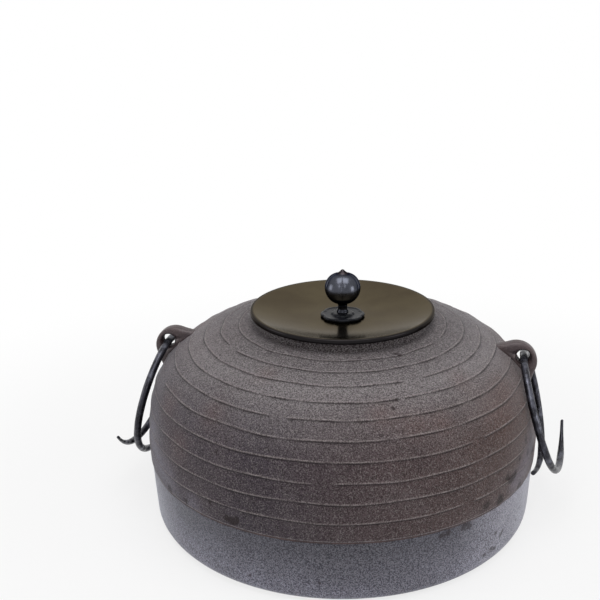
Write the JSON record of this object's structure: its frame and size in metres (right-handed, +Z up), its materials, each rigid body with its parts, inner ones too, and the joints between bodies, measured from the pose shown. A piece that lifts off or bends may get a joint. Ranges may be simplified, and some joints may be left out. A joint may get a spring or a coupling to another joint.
{
  "type": "chagama tea kettle",
  "caption": "Flat-round cast-iron tea kettle with raised lines, a lower pan, open carrying rings hung in side lugs, and a lift-off dished bronze lid with a bud-shaped knob.",
  "frame": {"origin": "centre of the flat base, on the surface that the kettle stands on", "axes": "+Z up along the kettle's axis, +X from the centre to the right-hand lug, -Y towards the front"},
  "size_m": [0.3092, 0.2658, 0.1655],
  "materials": {
    "shell_iron": "sand-textured cast iron with a warm grey-brown patina",
    "pan_iron": "finely pitted cast iron, cooler and greyer than the shell",
    "lacquer": "hardened red-brown iron lacquer",
    "lug_iron": "smooth cast iron, purple-brown",
    "ring_iron": "forged and blackened iron with a worn sheen",
    "lid_bronze": "satin-polished bronze with a dark brown patina",
    "knob_bronze": "polished bronze with a black patina",
    "plate_iron": "raw iron plate"
  },
  "bodies": {
    "kettle": {"upper_shell": "shell_iron", "bottom_pan": "pan_iron", "seam_lacquer": "lacquer", "lug_right": "lug_iron", "lug_left": "lug_iron", "sounding_plate_1": "plate_iron", "sounding_plate_2": "plate_iron", "sounding_plate_3": "plate_iron", "plate_lacquer_1": "lacquer", "plate_lacquer_2": "lacquer", "plate_lacquer_3": "lacquer"},
    "lid": {"lid_plate": "lid_bronze", "knob_seat": "knob_bronze", "knob": "knob_bronze", "stem_washer": "lid_bronze"},
    "right_ring": {"ring_right": "ring_iron"},
    "left_ring": {"ring_left": "ring_iron"}
  },
  "joints": [
    {"name": "lid_lift", "type": "slide", "parent": "kettle", "child": "lid", "axis": [0, 0, 1], "range_m": [0, 0.12]},
    {"name": "right_ring_swing", "type": "hinge", "parent": "kettle", "child": "right_ring", "pos_m": [0.12118, 0, 0.11063], "axis": [0, -1, 0], "range_deg": [0, 190]},
    {"name": "left_ring_swing", "type": "hinge", "parent": "kettle", "child": "left_ring", "pos_m": [-0.12118, 0, 0.11063], "axis": [0, 1, 0], "range_deg": [0, 190]}
  ]
}
